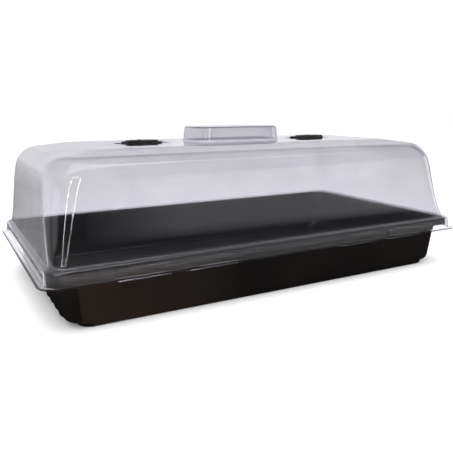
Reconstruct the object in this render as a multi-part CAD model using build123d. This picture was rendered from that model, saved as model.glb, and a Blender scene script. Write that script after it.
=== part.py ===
from build123d import *
import os

# Humidity dome tray: a black growing tray under a clear vented dome.
#
# Millimetres, +Z up.  Origin: centre of the tray's foot, on the surface it stands on.
# X runs along the length, Y across the width; the front is -Y.

# ---- driving dimensions: every outline is a rounded rectangle about the Z axis ----
# A station is (height, half length, half width, corner radius).

TRAY_WALL = 1.6           # sheet thickness of the tray
RIM_TOP = 65.0            # top of the rolled rim, where the dome rests
RIM_HALF = (272.2, 141.2, 15.0)
RIM_LIP_DEPTH = 9.0       # how far the rim turns down outside the wall
RIM_LEAN = 0.6            # how far the lip leans out at its foot
RIM_EDGE = 1.0            # bevel round the top of the rim
TRAY_OUTER = [            # foot, step, drafted wall up to the underside of the rim
    (0.0, 240.2, 125.6, 12.0),
    (1.6, 243.0, 128.4, 15.0),
    (5.4, 243.9, 129.0, 15.4),
    (5.8, 250.0, 129.4, 15.9),
    (7.4, 253.4, 130.0, 16.5),
    (11.5, 255.6, 131.0, 17.1),
    (RIM_TOP - TRAY_WALL, 262.5, 134.5, 19.0),
]
WALL_FOOT = 5             # the station where the straight wall starts

FLUTE_PITCH = 21.0        # vertical flutes on the two end walls
FLUTE_COUNT = 11
FLUTE_RADIUS = 7.0
FLUTE_RISE = 2.4          # how far a flute stands out of the wall
FLUTE_SPAN = (8.0, 52.0)  # heights of its foot and top

DOME_WALL = 1.0           # sheet thickness of the dome
FLANGE_Z = 50.5           # underside of the flange at the foot of the skirt
FLANGE_HALF = (281.5, 150.5, 20.0)
DOME_OUTER = [
    (50.5, 276.0, 145.0, 15.0),       # skirt
    (63.1, 275.0, 144.0, 14.0),
    (64.8, 274.3, 143.3, 14.0),       # rounded shoulder
    (66.1, 272.6, 141.6, 14.5),
    (66.8, 270.2, 139.4, 15.0),
    (69.5, 269.0, 137.6, 16.0),       # wall, flared at its foot
    (81.5, 267.9, 133.2, 19.5),
    (98.5, 266.7, 129.4, 23.5),
    (119.5, 265.2, 126.0, 28.0),
    (141.5, 262.5, 123.4, 32.0),
    (151.5, 260.0, 121.4, 34.5),      # round top edge
    (159.0, 255.8, 117.6, 37.0),
    (163.6, 249.6, 112.0, 31.0),
    (166.5, 242.5, 105.5, 22.0),
    (172.5, 203.0, 72.0, 14.0),       # hipped roof up to the flat middle
]
ROOF_Z = 172.5
GRIP_OUTER = [            # lifting grip in the middle of the roof
    (172.5, 67.0, 35.0, 27.0),
    (173.1, 65.3, 33.3, 25.5),
    (174.7, 64.3, 32.3, 24.5),
    (188.9, 62.6, 30.2, 22.5),
    (190.4, 62.0, 29.6, 22.0),
    (191.1, 60.6, 28.2, 20.6),
]
PANEL_X = (101.5, 179.5)  # shallow stiffening panels along the long sides of the skirt
PANEL = (56.0, 4.0, 0.9)  # length, depth of the block, height above the skirt
PANEL_Z = (51.5, 62.0)

VENT_X = 126.0            # distance of each vent from the middle
SEAT = (66.0, 24.0, 1.5)  # shallow seat pressed into the roof: length, width, depth
SEAT_CORNER = 6.0
WINDOW = (38.0, 12.5)     # opening through the seat
WINDOW_CORNER = 1.0
BASE = (47.0, 16.0)       # vent base plate
BASE_CORNER = 2.0
BASE_PLATE = 1.6
RAIL_WIDTH = 1.4
RAIL_TOP = 3.5            # rail height above the seat
RAIL_LIP = (0.8, 0.8)     # inward reach and thickness of the rail's lip
SLIDER_LENGTH = 38.0
SLIDER_TOP = 5.2          # top of the slider above the seat
SLIDER_BEVEL = 0.8
SLIDE_GAP = 0.25          # clearance between slider and base
SLIDE_TRAVEL = 9.0        # closed to open
PORT = (8.5, 9.0)         # ventilation opening
PORT_CORNER = 1.5
PORT_PITCH = 18.0
PORT_SHIFT = -3.3         # middle of the slider's two ports from its own middle
THUMB_RIDGE = (5.0, 9.0, 0.6)
RIDGE_CORNER = 1.2
RIDGE_BEVEL = 0.4
RETAINER = (47.0, 19.0, 1.6)
RETAINER_CORNER = 3.0
SNAP_POST = (3.0, 1.4)
SNAP_HOOK = (0.7, 1.2)    # outward reach and height of a post's hook
SNAP_GAP = (0.6, 0.15)    # clearance between a post and the window's edges

MERGE = 0.2               # how deep one block sinks into the next
PAST = 1.0                # how far a cut runs past the face it opens

SEAT_Z = ROOF_Z - SEAT[2]
LEFT_REST = 0.0                       # left shutter half open
RIGHT_REST = SLIDE_TRAVEL / 2         # right shutter fully open
SIDES = (-1, 1)


def section(station):
    height, half_length, half_width, radius = station
    return Plane.XY.offset(height) * RectangleRounded(2 * half_length, 2 * half_width, radius)


def stack(stations):
    """Straight-sided loft through a stack of rounded rectangles."""
    return loft([section(s) for s in stations], ruled=True)


def inset(stations, thickness):
    """The same stack moved inwards by the sheet thickness, square to the surface."""
    moved = []
    for i, (z, a, b, r) in enumerate(stations):
        low = stations[max(i - 1, 0)]
        high = stations[min(i + 1, len(stations) - 1)]
        rise = high[0] - low[0]
        run = ((low[1] - high[1]) + (low[2] - high[2])) / 2
        slant = (rise * rise + run * run) ** 0.5
        side = thickness * rise / slant
        moved.append((z - thickness * run / slant, a - side, b - side, max(r - side, 1.0)))
    return moved


def block(length, width, low, high, x=0.0, y=0.0, radius=0.0):
    """Upright block between two heights, with optional rounded corners."""
    outline = RectangleRounded(length, width, radius) if radius else Rectangle(length, width)
    return extrude(Pos(x, y, low) * outline, high - low)


def flutes(radius):
    """Vertical half-round flutes that lean with the drafted end walls."""
    foot, top = TRAY_OUTER[WALL_FOOT], TRAY_OUTER[-1]
    lean = (top[1] - foot[1]) / (top[0] - foot[0])
    ribs = []
    for side in SIDES:
        for i in range(FLUTE_COUNT):
            y = (i - (FLUTE_COUNT - 1) / 2) * FLUTE_PITCH
            ends = []
            for z in FLUTE_SPAN:
                centre = foot[1] + lean * (z - foot[0]) + FLUTE_RISE - FLUTE_RADIUS
                ends.append(Pos(side * centre, y, z) * Circle(radius))
            ribs.append(loft(ends))
    return ribs


def tray_rim():
    """Rim that turns out from the wall and down, leaning outwards a little."""
    a, b, radius = RIM_HALF
    lip_foot = RIM_TOP - RIM_LIP_DEPTH
    outside = stack([
        (lip_foot, a + RIM_LEAN, b + RIM_LEAN, radius),
        (RIM_TOP - RIM_EDGE, a, b, radius),
        (RIM_TOP, a - RIM_EDGE, b - RIM_EDGE, radius - RIM_EDGE),
    ])
    a, b, radius = a - TRAY_WALL, b - TRAY_WALL, radius - TRAY_WALL
    hollow = stack([
        (lip_foot - PAST, a + RIM_LEAN, b + RIM_LEAN, radius),
        (RIM_TOP - TRAY_WALL, a, b, radius),
    ])
    return outside - hollow


def tray():
    outer = stack(TRAY_OUTER)
    for rib in flutes(FLUTE_RADIUS):
        outer += rib
    cavity = inset(TRAY_OUTER, TRAY_WALL)
    floor = (TRAY_WALL,) + cavity[0][1:]
    mouth = (RIM_TOP + PAST,) + cavity[-1][1:]
    inner = stack([floor] + cavity[1:] + [mouth])
    for rib in flutes(FLUTE_RADIUS - TRAY_WALL):
        inner += rib
    return outer + tray_rim() - inner


def vent_seats(grow):
    """Pockets pressed into the roof under both vents."""
    length, width, depth = SEAT
    return [block(length + 2 * grow, width + 2 * grow, ROOF_Z - depth - grow, ROOF_Z + PAST,
                  x=side * VENT_X, radius=SEAT_CORNER + grow) for side in SIDES]


def skirt_panels(sheet):
    """Raised panels on the skirt; a sheet thickness gives the hollow behind them."""
    length, depth, rise = PANEL
    low, high = PANEL_Z
    middle = DOME_OUTER[0][2] + rise - sheet - depth / 2
    return [block(length - 2 * sheet, depth, low + sheet, high - sheet,
                  x=side_x * x, y=side_y * middle)
            for x in PANEL_X for side_x in SIDES for side_y in SIDES]


def dome():
    outer = stack(DOME_OUTER) + stack(GRIP_OUTER)
    outer += stack([(FLANGE_Z,) + FLANGE_HALF, (FLANGE_Z + DOME_WALL,) + FLANGE_HALF])
    for pocket in vent_seats(0.0):
        outer -= pocket
    for panel in skirt_panels(0.0):
        outer += panel
    skin = inset(DOME_OUTER, DOME_WALL)
    mouth = (FLANGE_Z - PAST,) + skin[0][1:]
    roof = (ROOF_Z - DOME_WALL,) + skin[-1][1:]
    inner = stack([mouth] + skin[1:-1] + [roof])
    grip = inset(GRIP_OUTER, DOME_WALL)
    ceiling = (GRIP_OUTER[-1][0] - DOME_WALL,) + grip[-1][1:]
    inner += stack([(ROOF_Z - DOME_WALL,) + grip[0][1:]] + grip[1:-1] + [ceiling])
    for pocket in vent_seats(DOME_WALL):
        inner -= pocket
    for panel in skirt_panels(DOME_WALL):
        inner += panel
    shell = outer - inner
    for side in SIDES:
        shell -= block(*WINDOW, SEAT_Z - DOME_WALL - PAST, SEAT_Z + PAST,
                       x=side * VENT_X, radius=WINDOW_CORNER)
    return shell


def ports(low, high, x):
    """The two ventilation openings round a place on the X axis."""
    return [block(*PORT, low - PAST, high + PAST, x=x + side * PORT_PITCH / 2, radius=PORT_CORNER)
            for side in SIDES]


def snap_post(x, side_x, side_y):
    """Post through the roof's window with a hook under the retainer."""
    post_length, post_width = SNAP_POST
    reach, height = SNAP_HOOK
    gap_x, gap_y = SNAP_GAP
    hook_top = SEAT_Z - DOME_WALL - RETAINER[2]
    post_x = x + side_x * (WINDOW[0] / 2 - gap_x - post_length / 2)
    outside = WINDOW[1] / 2 - gap_y
    post = block(post_length, post_width, hook_top - height, SEAT_Z + MERGE,
                 x=post_x, y=side_y * (outside - post_width / 2))
    hook = block(post_length, post_width + reach, hook_top - height, hook_top,
                 x=post_x, y=side_y * (outside + reach - (post_width + reach) / 2))
    return post + hook


def vent_base(x):
    """Fixed plate with two ports, lipped rails and four snap posts through the roof."""
    length, width = BASE
    top = SEAT_Z + BASE_PLATE
    plate = block(length, width, SEAT_Z, top, x=x, radius=BASE_CORNER)
    for port in ports(SEAT_Z, top, x + PORT_SHIFT + SLIDE_TRAVEL / 2):
        plate -= port
    reach, lip = RAIL_LIP
    rail_top = SEAT_Z + RAIL_TOP
    for side in SIDES:
        plate += block(length, RAIL_WIDTH, top, rail_top, x=x, y=side * (width - RAIL_WIDTH) / 2)
        plate += block(length, RAIL_WIDTH + reach, rail_top - lip, rail_top,
                       x=x, y=side * (width - RAIL_WIDTH - reach) / 2)
    for side_x in SIDES:
        for side_y in SIDES:
            plate += snap_post(x, side_x, side_y)
    return plate


def vent_slider(x, shift):
    """Shutter that runs along X under the rails' lips, with a low thumb ridge."""
    width = BASE[1]
    reach, lip = RAIL_LIP
    bottom = SEAT_Z + BASE_PLATE + SLIDE_GAP
    lip_bottom = SEAT_Z + RAIL_TOP - lip
    cap_bottom = SEAT_Z + RAIL_TOP + SLIDE_GAP
    cap_top = SEAT_Z + SLIDER_TOP
    slot = width - 2 * RAIL_WIDTH - 2 * SLIDE_GAP
    centre = x + shift
    tongue = block(SLIDER_LENGTH, slot, bottom, lip_bottom - SLIDE_GAP, x=centre)
    neck = block(SLIDER_LENGTH, slot - 2 * reach, bottom, cap_bottom + MERGE, x=centre)
    cap = block(SLIDER_LENGTH, width, cap_bottom, cap_top, x=centre, radius=BASE_CORNER)
    cap = chamfer(cap.edges().group_by(Axis.Z)[-1], SLIDER_BEVEL)
    ridge_length, ridge_width, ridge_height = THUMB_RIDGE
    ridge = block(ridge_length, ridge_width, cap_top - MERGE, cap_top + ridge_height,
                  x=centre + PORT_SHIFT, radius=RIDGE_CORNER)
    ridge = chamfer(ridge.edges().group_by(Axis.Z)[-1], RIDGE_BEVEL)
    body = tongue + neck + cap + ridge
    for port in ports(bottom, cap_top, centre + PORT_SHIFT):
        body -= port
    return body


def vent_retainer(x):
    """Flat frame under the roof that the snap posts clamp against the sheet."""
    length, width, thick = RETAINER
    top = SEAT_Z - DOME_WALL
    frame = block(length, width, top - thick, top, x=x, radius=RETAINER_CORNER)
    return frame - block(*WINDOW, top - thick - PAST, top + PAST, x=x, radius=WINDOW_CORNER)


parts = {"tray": tray(), "dome": dome()}
for name, x, rest in (("left", -VENT_X, LEFT_REST), ("right", VENT_X, RIGHT_REST)):
    parts[f"vent_base_{name}"] = vent_base(x)
    parts[f"vent_slider_{name}"] = vent_slider(x, rest)
    parts[f"vent_retainer_{name}"] = vent_retainer(x)

os.makedirs("parts", exist_ok=True)
for node, solid in parts.items():
    export_step(solid, f"parts/{node}.step")
    print(f"{node}: {solid.volume:.0f} mm3")
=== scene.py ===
import math

import bmesh
import bpy
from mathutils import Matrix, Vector


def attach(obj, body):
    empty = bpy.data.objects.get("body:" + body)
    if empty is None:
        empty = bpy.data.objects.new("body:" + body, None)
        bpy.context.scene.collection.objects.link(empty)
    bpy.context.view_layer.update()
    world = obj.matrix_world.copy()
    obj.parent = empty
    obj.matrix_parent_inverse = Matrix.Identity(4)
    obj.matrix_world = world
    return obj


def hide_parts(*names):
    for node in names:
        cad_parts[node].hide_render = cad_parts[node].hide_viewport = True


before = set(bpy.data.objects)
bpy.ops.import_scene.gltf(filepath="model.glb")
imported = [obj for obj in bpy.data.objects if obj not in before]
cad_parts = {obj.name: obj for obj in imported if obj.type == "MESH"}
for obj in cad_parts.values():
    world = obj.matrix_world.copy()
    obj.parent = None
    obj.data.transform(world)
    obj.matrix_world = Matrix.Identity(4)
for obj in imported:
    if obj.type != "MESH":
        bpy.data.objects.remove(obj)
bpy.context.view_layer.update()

# Humidity dome tray: clear thermoformed dome with two sliding vents over a black growing tray.
# Lengths in the tables of stations are millimetres, as in the CAD source; MM turns them into metres.
# Places and sizes in the studio are metres.
MM = 0.001

# ---------------------------------------------------------------- camera
CAMERA_PLACE = (-0.35176, -0.62423, 0.21398)
CAMERA_TURN = (77.365, 0.0, -28.91)
LENS = 41.91

camera_data = bpy.data.cameras.new("camera")
camera_data.lens = LENS
camera_data.sensor_width = 36.0
camera_data.clip_start = 0.01
camera_data.clip_end = 50.0
camera = bpy.data.objects.new("camera", camera_data)
camera.location = CAMERA_PLACE
camera.rotation_euler = [math.radians(angle) for angle in CAMERA_TURN]
bpy.context.scene.collection.objects.link(camera)
bpy.context.scene.camera = camera

# ---------------------------------------------------------------- outlines
# A station is (height, half length, half width, corner radius).
CORNER_STEPS = 14
SHARP_ANGLE = 38.0                     # edges sharper than this many degrees stay crisp

DOME_WALL = 1.0
SKIRT = [
    (51.5, 280.9, 149.9, 19.4), (51.5, 277.4, 146.4, 16.2), (51.7, 276.4, 145.4, 15.3),
    (52.3, 275.95, 144.95, 15.0), (53.2, 275.85, 144.85, 14.9), (58.0, 275.4, 144.4, 14.5),
    (61.0, 275.15, 144.15, 14.2), (61.9, 275.1, 144.1, 14.1), (63.1, 275.0, 144.0, 14.0),
    (64.1, 274.7, 143.7, 14.0), (64.8, 274.3, 143.3, 14.0), (65.5, 273.6, 142.6, 14.2),
    (66.1, 272.6, 141.6, 14.5), (66.6, 271.3, 140.4, 14.8), (67.2, 270.1, 139.2, 15.1),
]
WALL = [
    (69.5, 269.0, 137.6, 16.0), (81.5, 267.9, 133.2, 19.5), (98.5, 266.7, 129.4, 23.5),
    (119.5, 265.2, 126.0, 28.0), (141.5, 262.5, 123.4, 32.0), (151.5, 260.0, 121.4, 34.5),
    (159.0, 255.8, 117.6, 37.0), (163.6, 249.6, 112.0, 31.0), (166.5, 242.5, 105.5, 22.0),
]
HIP = [
    (168.3, 230.6, 95.4, 17.5), (169.9, 220.1, 86.5, 15.5), (171.0, 213.0, 80.5, 14.2),
    (171.75, 207.5, 75.8, 13.4), (172.2, 203.0, 72.0, 12.6), (172.43, 198.0, 67.7, 11.8),
    (172.5, 193.0, 63.5, 11.0),
]
ROOF_Z = 172.5
GRIP_FOOT = [
    (172.5, 69.0, 37.0, 29.0), (172.5, 67.3, 35.3, 27.3), (172.75, 66.1, 34.1, 26.2),
    (173.3, 65.2, 33.2, 25.3),
]
GRIP = [
    (174.7, 64.3, 32.3, 24.5), (181.8, 63.45, 31.25, 23.5), (188.9, 62.6, 30.2, 22.5),
    (190.2, 62.15, 29.75, 22.1), (190.85, 61.4, 29.0, 21.3), (191.1, 60.4, 28.0, 20.3),
    (191.1, 58.0, 25.6, 17.9),
]
FLANGE_EDGE = [(50.62, 281.35), (50.8, 281.5), (51.2, 281.5), (51.38, 281.35)]
FLANGE_OVER = 131.0                    # half length minus half width of the flange
FLANGE_RADIUS = 20.0

PANEL_MIDDLES = (101.5, 179.5)         # raised panels on the skirt, both ways from the middle
PANEL_HALF = 28.0
PANEL_RISE = 0.9
PANEL_RAMP = 0.7
PANEL_HEIGHTS = (51.9, 52.9, 60.9, 61.9)   # starts, full, full, ends
SKIRT_REACH = (261.0, 130.0)           # straight half length and half width of the skirt
SKIRT_STEP = 14.0                      # about how far apart the points between panels are
SKIRT_END_PARTS = 16
GRIP_REACH = 40.0
GRIP_SIDE_PARTS = 8
GRIP_END_MARKS = (-4.0, 0.0, 4.0)

VENT_X = 126.0
SEAT_HALF = (33.0, 12.0)
SEAT_RADIUS = 6.0
SEAT_DEPTH = 1.5
SEAT_LIP = [(1.6, 0.0), (0.7, 0.0), (0.2, -0.15), (0.0, -0.5)]          # out of the seat, up from the roof
SEAT_FOOT = [(0.0, 0.35), (-0.15, 0.08), (-0.6, 0.0), (-1.4, 0.0)]      # out of the seat, up from its floor
WINDOW_HALF = (19.0, 6.25)
WINDOW_RADIUS = 1.0
SEAT_PARTS = (4, 3)                    # parts of a seat's long and short sides

TRAY_WALL = 1.6
TRAY_REACH = 238.0                     # straight half length of the tray
TRAY_MARKED = 236.0
TRAY_SIDE_PARTS = 30
FLOOR_INSET = 2.0                      # from the cavity's lowest ring in to its flat floor
FLOOR_TIGHTER = 1.0                    # how much smaller the flat floor's corner radius is
FOOT = [
    (0.0, 240.2, 125.6, 12.0), (0.35, 241.6, 127.0, 13.4), (1.0, 242.6, 128.0, 14.5),
    (2.4, 243.3, 128.7, 15.2), (4.9, 243.8, 129.0, 15.4), (5.4, 244.4, 129.1, 15.5),
    (5.6, 245.6, 129.2, 15.6), (5.8, 248.6, 129.4, 15.9), (6.2, 251.0, 129.6, 16.1),
    (7.1, 253.0, 129.9, 16.4), (8.8, 254.6, 130.5, 16.8), (11.5, 255.6, 131.0, 17.1),
]
TRAY_SIDE = [
    (22.0, 257.1, 131.7, 17.5), (36.0, 259.0, 132.6, 18.0), (48.0, 260.6, 133.5, 18.4),
    (56.0, 261.6, 134.0, 18.7), (61.6, 262.3, 134.4, 18.9),
]
RIM_UNDER = [
    (63.0, 262.8, 134.9, 19.2), (63.4, 263.9, 136.0, 19.8), (63.4, 268.6, 137.6, 13.0),
    (63.0, 270.1, 139.1, 13.0), (62.0, 270.6, 139.6, 13.4), (56.2, 271.15, 140.15, 13.9),
]
RIM_OVER = [
    (56.0, 271.5, 140.5, 14.2), (56.0, 272.4, 141.4, 14.8), (56.2, 272.75, 141.75, 15.0),
    (63.6, 272.25, 141.25, 15.0), (64.5, 271.9, 140.9, 14.8), (65.0, 271.0, 140.0, 14.0),
    (65.0, 263.5, 135.4, 19.6), (64.8, 262.2, 134.2, 18.6), (64.0, 261.3, 133.3, 17.8),
]
FLUTE_PITCH = 21.0
FLUTE_COUNT = 11
FLUTE_RADIUS = 7.0
FLUTE_RISE = 2.4
FLUTE_SPAN = (5.8, 11.5, 49.5, 52.0)   # starts, full, full, ends
FLUTE_POINTS = (-5.3, -4.9, -4.1, -3.0, -1.6, 0.0, 1.6, 3.0, 4.1, 4.9, 5.3)

# ---------------------------------------------------------------- colours and studio
CLEAR_TINTS = ((0.69, 0.685, 0.72), (0.725, 0.72, 0.75))
CLEAR_IOR = 1.45
CLEAR_SHADOW = (0.88, 0.88, 0.9, 1.0)  # what the lamps' light keeps on its way through the dome
TRAY_SHADES = ((0.0035, 0.003, 0.003), (0.006, 0.005, 0.0045))
DUST_COLOUR = (0.03, 0.027, 0.024)
TRAY_SPECULAR = 0.4
VENT_SHADES = ((0.003, 0.003, 0.0035), (0.012, 0.012, 0.0125))
VENT_SPECULAR = 0.45
FLOOR_COLOUR = (0.93, 0.93, 0.93, 1.0)
FLOOR_ROUGHNESS = 0.9
FLOOR_REACH = 12.0

WELD_DISTANCE = 0.00001
EDGE_ROUNDING = 0.00018
EDGE_SEGMENTS = 2
EDGE_ANGLE = 35

WORLD_WHITE = 1.12
LAMP_GLOW = 0.8                        # added to the mirrored world's strength where the long lamp is
RIGHT_GLOW = 0.8                       # and where the window at the right end is
MIRRORED_GREYS = ((0.13, 0.13, 0.15), (0.95, 0.95, 1.0))
MIRRORED_GROUND = ((0.02, 0.021, 0.018), (0.4, 0.27, 0.2))
MIDDLE = (0.0, 0.0, 0.1)               # what the lamps face
TOP_LAMP = ((-0.2, -0.3, 2.2), (2.0, 1.2), 30.0)      # place, size, watts
STRIP_DISTANCE = 2.0
STRIPS = [                             # name, azimuth and elevation, size, watts
    ("strip_left", (-38, 21), (0.035, 1.5), 6.5),
    ("strip_front", (-11, 17), (0.035, 1.2), 5.5),
    ("strip_between", (-24.5, 37), (0.75, 0.03), 2.5),
]


def ramp(value, low, high):
    """0 below low, 1 above high, smooth between."""
    share = min(1.0, max(0.0, (value - low) / (high - low)))
    return share * share * (3 - 2 * share)


def curved(stations, steps):
    """Stations along a Catmull-Rom curve through the given ones, with that many steps between two."""
    made = []
    for i in range(len(stations) - 1):
        before = stations[max(i - 1, 0)]
        start, end = stations[i], stations[i + 1]
        after = stations[min(i + 2, len(stations) - 1)]
        span = math.dist(start[:2], end[:2])
        leave = math.dist(before[:2], end[:2]) or 1.0
        arrive = math.dist(start[:2], after[:2]) or 1.0
        for step in range(steps):
            t = step / steps
            h00, h10 = 2 * t**3 - 3 * t**2 + 1, t**3 - 2 * t**2 + t
            h01, h11 = -2 * t**3 + 3 * t**2, t**3 - t**2
            made.append(tuple(
                h00 * start[k] + h10 * span * (end[k] - before[k]) / leave
                + h01 * end[k] + h11 * span * (after[k] - start[k]) / arrive
                for k in range(4)))
    return made + [stations[-1]]


def inward(stations, thickness):
    """The stations moved square to the sheet, to its other side."""
    moved = []
    for i, (z, a, b, r) in enumerate(stations):
        low, high = stations[max(i - 1, 0)], stations[min(i + 1, len(stations) - 1)]
        rise = high[0] - low[0]
        run = ((low[1] - high[1]) + (low[2] - high[2])) / 2
        slant = math.hypot(rise, run) or 1.0
        side = thickness * rise / slant
        moved.append((z - thickness * run / slant, a - side, b - side, max(r - side, 1.0)))
    return moved


def outline(station, long_marks=(), end_marks=(), reach=(None, None)):
    """Points and outward directions round one rounded rectangle, from the front left corner.

    The marks are places along the long sides and the ends that get a point of their own. A reach is the
    straight half length they are meant for: they draw together on a shorter side.
    """
    z, a, b, r = station
    straight_x, straight_y = a - r, b - r
    scale_x = straight_x / reach[0] if reach[0] else 1.0
    scale_y = straight_y / reach[1] if reach[1] else 1.0
    along_x = [-straight_x] + [mark * scale_x for mark in long_marks] + [straight_x]
    along_y = [-straight_y] + [mark * scale_y for mark in end_marks] + [straight_y]
    corners = [(straight_x, -straight_y, -90), (straight_x, straight_y, 0),
               (-straight_x, straight_y, 90), (-straight_x, -straight_y, 180)]
    sides = [[(x, -b, 0, -1) for x in along_x], [(a, y, 1, 0) for y in along_y],
             [(-x, b, 0, 1) for x in along_x], [(-a, -y, -1, 0) for y in along_y]]
    points = []
    for side, (cx, cy, start) in zip(sides, corners):
        points += side
        for step in range(1, CORNER_STEPS):
            turn = math.radians(start + 90 * step / CORNER_STEPS)
            nx, ny = math.cos(turn), math.sin(turn)
            points.append((cx + r * nx, cy + r * ny, nx, ny))
    return [(x, y, z, nx, ny) for x, y, nx, ny in points]


def add_ring(bm, points, push=None):
    """A ring of vertices; push gives how far a point stands out of its side."""
    ring = []
    for x, y, z, nx, ny in points:
        out = push(x, y, z, nx, ny) if push else 0.0
        ring.append(bm.verts.new(((x + nx * out) * MM, (y + ny * out) * MM, z * MM)))
    return ring


def skin(bm, low, high):
    """Faces between two rings with as many points each."""
    for i in range(len(low)):
        j = (i + 1) % len(low)
        bm.faces.new((low[i], low[j], high[j], high[i]))


def skins(bm, rings):
    """Faces between each ring and the next."""
    for low, high in zip(rings, rings[1:]):
        skin(bm, low, high)


def flat_fill(bm, loops):
    """Fills the flat region between an outer loop and the loops within it."""
    edges = []
    for loop in loops:
        for i in range(len(loop)):
            pair = (loop[i], loop[(i + 1) % len(loop)])
            edges.append(bm.edges.get(pair) or bm.edges.new(pair))
    bmesh.ops.triangle_fill(bm, edges=edges, use_beauty=True, use_dissolve=False)


def finished(bm, name, body, nodes):
    """The mesh as a smooth-shaded piece that stands for its CAD nodes."""
    bmesh.ops.recalc_face_normals(bm, faces=bm.faces)
    mesh = bpy.data.meshes.new(name)
    bm.to_mesh(mesh)
    bm.free()
    mesh.shade_smooth()
    mesh.set_sharp_from_angle(angle=math.radians(SHARP_ANGLE))
    piece = bpy.data.objects.new(name, mesh)
    bpy.context.scene.collection.objects.link(piece)
    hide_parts(*nodes)
    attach(piece, body)
    return piece


def even_marks(half, count):
    """Places that split a side of that half length in count parts."""
    return [-half + 2 * half * i / count for i in range(1, count)]


# ---------------------------------------------------------------- dome
def panel_marks():
    """Points along the skirt: close pairs where a raised panel starts or ends, wide steps between."""
    edges = sorted(side * (middle + end * PANEL_HALF)
                   for side in (-1, 1) for middle in PANEL_MIDDLES for end in (-1, 1))
    marks = []
    for edge in edges:
        marks += [edge - PANEL_RAMP / 2, edge, edge + PANEL_RAMP / 2]
    stops = [-SKIRT_REACH[0]] + edges + [SKIRT_REACH[0]]
    for start, end in zip(stops, stops[1:]):
        parts = max(2, round((end - start) / SKIRT_STEP))
        marks += [start + (end - start) * i / parts for i in range(1, parts)]
    return sorted(marks)


def panel_push(x, y, z, nx, ny):
    """How far the skirt's long sides stand out for their raised panels."""
    if ny == 0 or nx != 0:
        return 0.0
    low, low_full, high_full, high = PANEL_HEIGHTS
    height = ramp(z, low, low_full) * (1 - ramp(z, high_full, high))
    for middle in PANEL_MIDDLES:
        off = PANEL_HALF - abs(abs(x) - middle)
        if off > -PANEL_RAMP:
            return PANEL_RISE * height * ramp(off, -PANEL_RAMP / 2, PANEL_RAMP / 2)
    return 0.0


def rectangle(z, half_x, half_y, radius, middle):
    """Outline of a small rounded rectangle round a place on the X axis."""
    along, across = SEAT_PARTS
    station = (z, half_x, half_y, radius)
    points = outline(station, even_marks(half_x - radius, along), even_marks(half_y - radius, across))
    return [(x + middle, y, height, nx, ny) for x, y, height, nx, ny in points]


def seat_rings(bm, middle, under):
    """Rings of one vent seat, from the roof down to its window."""
    grow = DOME_WALL if under else 0.0
    top = ROOF_Z - grow
    floor = top - SEAT_DEPTH
    long, wide = SEAT_HALF
    profile = [(out, top + up) for out, up in SEAT_LIP] + [(out, floor + up) for out, up in SEAT_FOOT]
    rings = []
    for out, z in profile:
        wider = grow + out
        seat = rectangle(z, long + wider, wide + wider, SEAT_RADIUS + wider, middle)
        rings.append(add_ring(bm, seat))
    rings.append(add_ring(bm, rectangle(floor, *WINDOW_HALF, WINDOW_RADIUS, middle)))
    return rings


def make_dome():
    """The dome's outer and inner skins, joined at the flange and at the vents' windows."""
    bm = bmesh.new()
    marks, end_marks = panel_marks(), even_marks(SKIRT_REACH[1], SKIRT_END_PARTS)
    sheet = curved(SKIRT, steps=2)[:-1] + curved([SKIRT[-1]] + WALL + HIP, steps=4)
    grip = (curved(GRIP_FOOT, steps=2)[:-1] + curved([GRIP_FOOT[-1]] + GRIP[:-1], steps=3)
            + [GRIP[-1]])
    grip_marks = even_marks(GRIP_REACH, GRIP_SIDE_PARTS)
    shells = []
    for under in (False, True):
        side = inward(sheet, DOME_WALL) if under else sheet
        boss = inward(grip, DOME_WALL) if under else grip
        rings = [add_ring(bm, outline(s, marks, end_marks, SKIRT_REACH), panel_push)
                 for s in side]
        skins(bm, rings)
        tower = [add_ring(bm, outline(s, grip_marks, GRIP_END_MARKS)) for s in boss]
        skins(bm, tower)
        seats = [seat_rings(bm, end * VENT_X, under) for end in (-1, 1)]
        for rings_down in seats:
            skins(bm, rings_down)
        flat_fill(bm, [rings[-1], tower[0]] + [rings_down[0] for rings_down in seats])
        bm.faces.new(tower[-1])
        shells.append((rings[0], seats))
    # the flange's rounded edge and the window edges join the two sides
    (outer_edge, outer_seats), (inner_edge, inner_seats) = shells
    edge = [(z, a, a - FLANGE_OVER, FLANGE_RADIUS) for z, a in FLANGE_EDGE]
    edge_rings = [add_ring(bm, outline(s, marks, end_marks, SKIRT_REACH)) for s in edge]
    skins(bm, [inner_edge] + edge_rings + [outer_edge])
    for above, below in zip(outer_seats, inner_seats):
        skin(bm, above[-1], below[-1])
    return finished(bm, "dome_shell", "dome_body", ["dome"])


# ---------------------------------------------------------------- tray
def flute_marks():
    """Points across the end walls, close together on the flutes."""
    middles = [(i - (FLUTE_COUNT - 1) / 2) * FLUTE_PITCH for i in range(FLUTE_COUNT)]
    marks = [middle + step for middle in middles for step in FLUTE_POINTS]
    marks += [middle + FLUTE_PITCH / 2 for middle in middles[:-1]]
    return sorted(marks)


def flute_push(radius, sink):
    """A push for add_ring: the end walls' flutes, round ones whose middles lie sink inside the wall."""
    start, full, still_full, end = FLUTE_SPAN

    def push(x, y, z, nx, ny):
        if nx == 0 or ny != 0:
            return 0.0
        nearest = round(y / FLUTE_PITCH) * FLUTE_PITCH
        off = y - nearest
        if abs(off) >= radius or abs(nearest) > FLUTE_PITCH * FLUTE_COUNT / 2:
            return 0.0
        bulge = max(0.0, math.sqrt(radius * radius - off * off) - sink)
        return bulge * ramp(z, start, full) * (1 - ramp(z, still_full, end))

    return push


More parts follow.
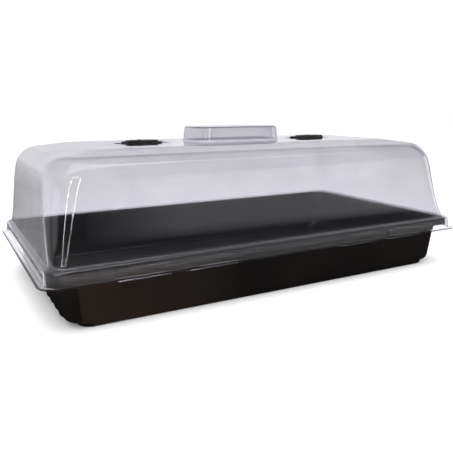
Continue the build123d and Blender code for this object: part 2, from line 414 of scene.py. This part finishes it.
def make_tray():
    """One closed skin: up the outside, over the rim and down into the cavity."""
    bm = bmesh.new()
    marks, across = even_marks(TRAY_MARKED, TRAY_SIDE_PARTS), flute_marks()

    def rings_of(stations, push=None):
        return [add_ring(bm, outline(s, marks, across, (TRAY_REACH, None)), push) for s in stations]

    side = curved(FOOT, steps=2)[:-1] + curved([FOOT[-1]] + TRAY_SIDE, steps=3)
    bulge = flute_push(FLUTE_RADIUS, FLUTE_RADIUS - FLUTE_RISE)
    outside = rings_of(side, bulge) + rings_of(RIM_UNDER)
    inside = inward(side, TRAY_WALL)
    _, a, b, r = inside[0]
    cavity = [(TRAY_WALL, a - FLOOR_INSET, b - FLOOR_INSET, r - FLOOR_TIGHTER),
              (TRAY_WALL, a, b, r)] + inside[3:]
    hollow = flute_push(FLUTE_RADIUS - TRAY_WALL, FLUTE_RADIUS - FLUTE_RISE - TRAY_WALL)
    rings = outside + rings_of(RIM_OVER) + rings_of(reversed(cavity), hollow)
    skins(bm, rings)
    bm.faces.new(rings[0])
    bm.faces.new(rings[-1])
    return finished(bm, "tray_shell", "tray_body", ["tray"])


# ---------------------------------------------------------------- materials
def new_material(name):
    material = bpy.data.materials.new(name)
    material.use_nodes = True
    tree = material.node_tree
    return material, tree, tree.nodes["Principled BSDF"]


def node(tree, kind, **values):
    """A node with its inputs set by name."""
    made = tree.nodes.new(kind)
    for key, value in values.items():
        label = key.replace("_", " ")
        if label in made.inputs:
            made.inputs[label].default_value = value
        else:
            setattr(made, key, value)
    return made


def noise(tree, scale, detail=4.0, rough=0.55, stretch=(1, 1, 1)):
    """Noise in the piece's own space, in features per metre."""
    place = node(tree, "ShaderNodeTexCoord")
    turn = node(tree, "ShaderNodeMapping")
    turn.inputs["Scale"].default_value = stretch
    grain = node(tree, "ShaderNodeTexNoise", Scale=scale, Detail=detail, Roughness=rough)
    tree.links.new(place.outputs["Object"], turn.inputs["Vector"])
    tree.links.new(turn.outputs["Vector"], grain.inputs["Vector"])
    return grain.outputs["Fac"]


def remap(tree, value, low, high, to_low, to_high):
    """The value's range low to high stretched to to_low to to_high, and held there beyond it."""
    span = node(tree, "ShaderNodeMapRange")
    for key, number in (("From Min", low), ("From Max", high), ("To Min", to_low), ("To Max", to_high)):
        span.inputs[key].default_value = number
    tree.links.new(value, span.inputs["Value"])
    return span.outputs["Result"]


def combine(tree, operation, first, *others):
    """One value out of two or more, by a math node's operation."""
    for other in others:
        maths = node(tree, "ShaderNodeMath")
        maths.operation = operation
        for socket, value in zip(maths.inputs, (first, other)):
            if isinstance(value, (int, float)):
                socket.default_value = value
            else:
                tree.links.new(value, socket)
        first = maths.outputs["Value"]
    return first


def soft_band(tree, value, start, full, still_full, end):
    """1 between full and still_full, falling smoothly to 0 at start and end."""
    rise = remap(tree, value, start, full, 0.0, 1.0)
    fall = remap(tree, value, still_full, end, 1.0, 0.0)
    return combine(tree, "MULTIPLY", rise, fall)


def blend_colours(tree, factor, first, second):
    """The first colour at factor 0, the second at 1; each is a colour or another node's output."""
    mix = node(tree, "ShaderNodeMix")
    mix.data_type = "RGBA"
    tree.links.new(factor, mix.inputs["Factor"])
    for name, value in (("A", first), ("B", second)):
        socket = next(s for s in mix.inputs if s.name == name and s.type == "RGBA")
        if isinstance(value, tuple):
            socket.default_value = (*value, 1.0)
        else:
            tree.links.new(value, socket)
    return next(s for s in mix.outputs if s.type == "RGBA")


def bump(tree, bsdf, layers):
    """Bumps one over the other; a layer is (height, strength, distance in metres)."""
    normal = None
    for height, strength, distance in layers:
        made = node(tree, "ShaderNodeBump", Strength=strength, Distance=distance)
        tree.links.new(height, made.inputs["Height"])
        if normal:
            tree.links.new(normal, made.inputs["Normal"])
        normal = made.outputs["Normal"]
    tree.links.new(normal, bsdf.inputs["Normal"])


def clear_plastic():
    """Thin clear sheet: faint lavender-grey, slightly wavy, with a little haze and fine scuffs."""
    material, tree, bsdf = new_material("clear_sheet")
    bsdf.inputs["Transmission Weight"].default_value = 1.0
    bsdf.inputs["IOR"].default_value = CLEAR_IOR
    waves = noise(tree, 9.0, 2.0)
    haze = noise(tree, 26.0, 5.0, 0.6)
    scuffs = noise(tree, 240.0, 3.0, 0.6, (1.0, 1.0, 0.12))
    tint = blend_colours(tree, remap(tree, haze, 0.35, 0.7, 0.0, 1.0), *CLEAR_TINTS)
    tree.links.new(tint, bsdf.inputs["Base Color"])
    rough = combine(tree, "ADD", remap(tree, haze, 0.45, 0.75, 0.0, 0.02),
                    remap(tree, scuffs, 0.66, 0.85, 0.0, 0.03))
    tree.links.new(rough, bsdf.inputs["Roughness"])
    bump(tree, bsdf, [(waves, 0.3, 0.0006), (scuffs, 0.02, 0.00005)])
    # shadow rays pass straight through, so the lamps reach what is under the dome
    clear = node(tree, "ShaderNodeBsdfTransparent", Color=CLEAR_SHADOW)
    path = node(tree, "ShaderNodeLightPath")
    mix = node(tree, "ShaderNodeMixShader")
    tree.links.new(path.outputs["Is Shadow Ray"], mix.inputs["Fac"])
    tree.links.new(bsdf.outputs["BSDF"], mix.inputs[1])
    tree.links.new(clear.outputs["BSDF"], mix.inputs[2])
    tree.links.new(mix.outputs["Shader"], tree.nodes["Material Output"].inputs["Surface"])
    return material


def tray_plastic():
    """Glossy black sheet with soft orange peel, dust, dull patches and fine drag marks."""
    material, tree, bsdf = new_material("black_sheet")
    bsdf.inputs["Specular IOR Level"].default_value = TRAY_SPECULAR
    dust = noise(tree, 60.0, 6.0, 0.65)
    patches = noise(tree, 7.0, 3.0)
    peel = noise(tree, 420.0, 2.0)
    drags = noise(tree, 300.0, 4.0, 0.6, (0.05, 0.3, 1.0))
    shade = blend_colours(tree, remap(tree, patches, 0.35, 0.65, 0.0, 1.0), *TRAY_SHADES)
    dusted = blend_colours(tree, remap(tree, dust, 0.6, 0.85, 0.0, 0.2), shade, DUST_COLOUR)
    tree.links.new(dusted, bsdf.inputs["Base Color"])
    rough = combine(tree, "ADD", remap(tree, patches, 0.3, 0.7, 0.1, 0.2),
                    remap(tree, dust, 0.55, 0.85, 0.0, 0.12), remap(tree, drags, 0.6, 0.8, 0.0, 0.12))
    tree.links.new(rough, bsdf.inputs["Roughness"])
    bump(tree, bsdf, [(patches, 0.25, 0.0008), (peel, 0.05, 0.00005), (drags, 0.03, 0.00005)])
    return material


def vent_plastic():
    """Injection-moulded black with a fine grain and paler rubbed patches."""
    material, tree, bsdf = new_material("moulded_black")
    bsdf.inputs["Specular IOR Level"].default_value = VENT_SPECULAR
    grain = noise(tree, 1500.0, 3.0)
    rub = noise(tree, 160.0, 5.0, 0.6)
    shade = blend_colours(tree, remap(tree, rub, 0.4, 0.75, 0.0, 1.0), *VENT_SHADES)
    tree.links.new(shade, bsdf.inputs["Base Color"])
    tree.links.new(remap(tree, rub, 0.3, 0.7, 0.14, 0.24), bsdf.inputs["Roughness"])
    bump(tree, bsdf, [(grain, 0.08, 0.00002), (rub, 0.05, 0.0001)])
    return material


def floor_material():
    material, _, bsdf = new_material("pale_floor")
    bsdf.inputs["Base Color"].default_value = FLOOR_COLOUR
    bsdf.inputs["Roughness"].default_value = FLOOR_ROUGHNESS
    return material


# ---------------------------------------------------------------- studio
def softbox(name, place, size, watts):
    """A rectangular area lamp that faces the object's middle; size is (width, height)."""
    data = bpy.data.lights.new(name, "AREA")
    data.shape = "RECTANGLE"
    data.size, data.size_y = size
    data.energy = watts
    lamp = bpy.data.objects.new(name, data)
    lamp.location = place
    lamp.rotation_euler = (Vector(MIDDLE) - Vector(place)).to_track_quat("-Z", "Y").to_euler()
    bpy.context.scene.collection.objects.link(lamp)
    return lamp


def around(azimuth, elevation, distance):
    """A place seen from the object's middle; azimuth 0 is the front, 90 the right end."""
    a, e = math.radians(azimuth), math.radians(elevation)
    return (distance * math.sin(a) * math.cos(e), -distance * math.cos(a) * math.cos(e),
            MIDDLE[2] + distance * math.sin(e))


def mirrored_world(tree):
    """What polished surfaces mirror: pale overhead and behind, dim in front, dark below."""
    place = node(tree, "ShaderNodeTexCoord")
    split = node(tree, "ShaderNodeSeparateXYZ")
    tree.links.new(place.outputs["Generated"], split.inputs["Vector"])
    across, along, height = (split.outputs[axis] for axis in "XYZ")
    overhead = remap(tree, height, 0.35, 0.8, 0.0, 0.6)
    behind = combine(tree, "MULTIPLY", remap(tree, along, -0.1, 0.35, 0.0, 0.85),
                     remap(tree, height, 0.2, 0.6, 1.0, 0.6))
    # soft windows: a broad one in front to the right, one at each end
    front = combine(tree, "MULTIPLY", soft_band(tree, across, 0.22, 0.4, 0.7, 0.85),
                    soft_band(tree, height, -0.06, 0.02, 0.14, 0.26))
    left = combine(tree, "MULTIPLY", soft_band(tree, along, -0.5, -0.3, 0.02, 0.2),
                   soft_band(tree, height, -0.1, 0.0, 0.26, 0.36),
                   remap(tree, across, -0.8, -0.6, 1.0, 0.0))
    right = combine(tree, "MULTIPLY", soft_band(tree, along, -0.52, -0.4, 0.0, 0.12),
                    soft_band(tree, height, -0.06, 0.0, 0.2, 0.3),
                    remap(tree, across, 0.6, 0.8, 0.0, 1.0))
    # a long lamp over the front, seen as a faint line along the bends
    lamp = combine(tree, "MULTIPLY", soft_band(tree, along, -0.3, -0.22, -0.14, -0.06),
                   remap(tree, height, 0.6, 0.8, 0.0, 1.0))
    open_sky = combine(tree, "MAXIMUM", overhead, behind, front, left, right, lamp)
    above = remap(tree, height, -0.1, 0.05, 0.0, 1.0)
    grey = blend_colours(tree, open_sky, *MIRRORED_GREYS)
    brown_ground = soft_band(tree, across, -0.1, 0.1, 0.25, 0.5)
    ground = blend_colours(tree, brown_ground, *MIRRORED_GROUND)
    glow = combine(tree, "ADD", combine(tree, "MULTIPLY", lamp, LAMP_GLOW),
                   combine(tree, "MULTIPLY", right, RIGHT_GLOW), 1.0)
    mirrored = node(tree, "ShaderNodeBackground")
    tree.links.new(blend_colours(tree, above, ground, grey), mirrored.inputs["Color"])
    tree.links.new(glow, mirrored.inputs["Strength"])
    return mirrored.outputs["Background"]


def make_world():
    """Plain white, except to glossy rays, which see the mirrored world."""
    world = bpy.data.worlds.new("studio")
    world.use_nodes = True
    tree = world.node_tree
    background = tree.nodes["Background"]
    background.inputs["Color"].default_value = (1.0, 1.0, 1.0, 1.0)
    background.inputs["Strength"].default_value = WORLD_WHITE
    path = node(tree, "ShaderNodeLightPath")
    mix = node(tree, "ShaderNodeMixShader")
    tree.links.new(path.outputs["Is Glossy Ray"], mix.inputs["Fac"])
    tree.links.new(background.outputs["Background"], mix.inputs[1])
    tree.links.new(mirrored_world(tree), mix.inputs[2])
    tree.links.new(mix.outputs["Shader"], tree.nodes["World Output"].inputs["Surface"])
    bpy.context.scene.world = world


def make_floor():
    mesh = bpy.data.meshes.new("floor")
    corners = [(x * FLOOR_REACH, y * FLOOR_REACH, 0) for x, y in ((-1, -1), (1, -1), (1, 1), (-1, 1))]
    mesh.from_pydata(corners, [], [(0, 1, 2, 3)])
    floor = bpy.data.objects.new("floor", mesh)
    floor.data.materials.append(floor_material())
    floor.visible_glossy = False
    bpy.context.scene.collection.objects.link(floor)


def make_studio():
    make_world()
    softbox("top", *TOP_LAMP).visible_glossy = False
    for name, direction, size, watts in STRIPS:
        softbox(name, around(*direction, STRIP_DISTANCE), size, watts)
    make_floor()


def finish_vents(material):
    """The vents keep their CAD meshes, with the vents' plastic and slightly rounded edges."""
    for name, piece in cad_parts.items():
        if name.startswith("vent_"):
            piece.material_slots[0].material = material
            weld = piece.modifiers.new("weld", "WELD")
            weld.merge_threshold = WELD_DISTANCE
            soften = piece.modifiers.new("soften", "BEVEL")
            soften.width = EDGE_ROUNDING
            soften.segments = EDGE_SEGMENTS
            soften.limit_method = "ANGLE"
            soften.angle_limit = math.radians(EDGE_ANGLE)
            soften.harden_normals = True


make_studio()
dome = make_dome()
dome.data.materials.append(clear_plastic())
tray = make_tray()
tray.data.materials.append(tray_plastic())

finish_vents(vent_plastic())

scene = bpy.context.scene
scene.view_settings.view_transform = "Standard"
scene.view_settings.look = "None"
